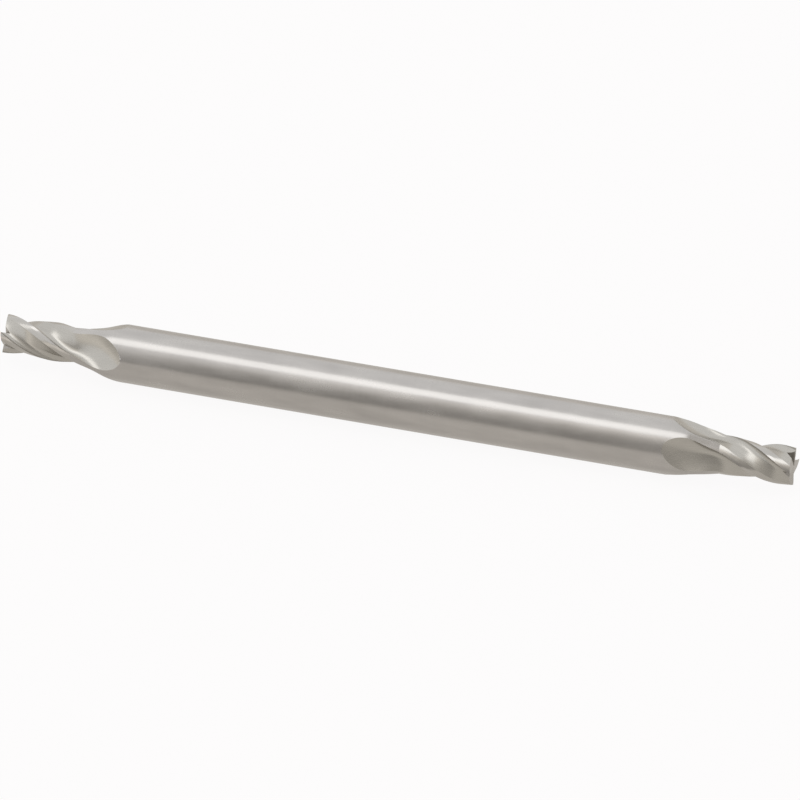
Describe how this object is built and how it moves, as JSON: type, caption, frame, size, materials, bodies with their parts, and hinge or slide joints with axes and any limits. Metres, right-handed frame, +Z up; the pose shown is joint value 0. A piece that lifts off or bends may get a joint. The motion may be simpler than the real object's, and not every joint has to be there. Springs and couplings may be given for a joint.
{
  "type": "double end end mill",
  "caption": "Double-ended square-nose end mill: a plain round shank that tapers at both ends to short helical flutes with ground end teeth, for milling slots and shoulders.",
  "frame": {"origin": "on the tool's axis, midway between the two tips", "axes": "+X along the tool's axis towards the right-hand tip of the picture, +Z up, +Y away from the camera side"},
  "size_m": [0.0666, 0.0048, 0.0048],
  "materials": {
    "ground_tool_steel": "centreless-ground shank, fine wheel-ground flutes, uncoated"
  },
  "bodies": {
    "root": {"end_mill": "ground_tool_steel"}
  },
  "joints": []
}
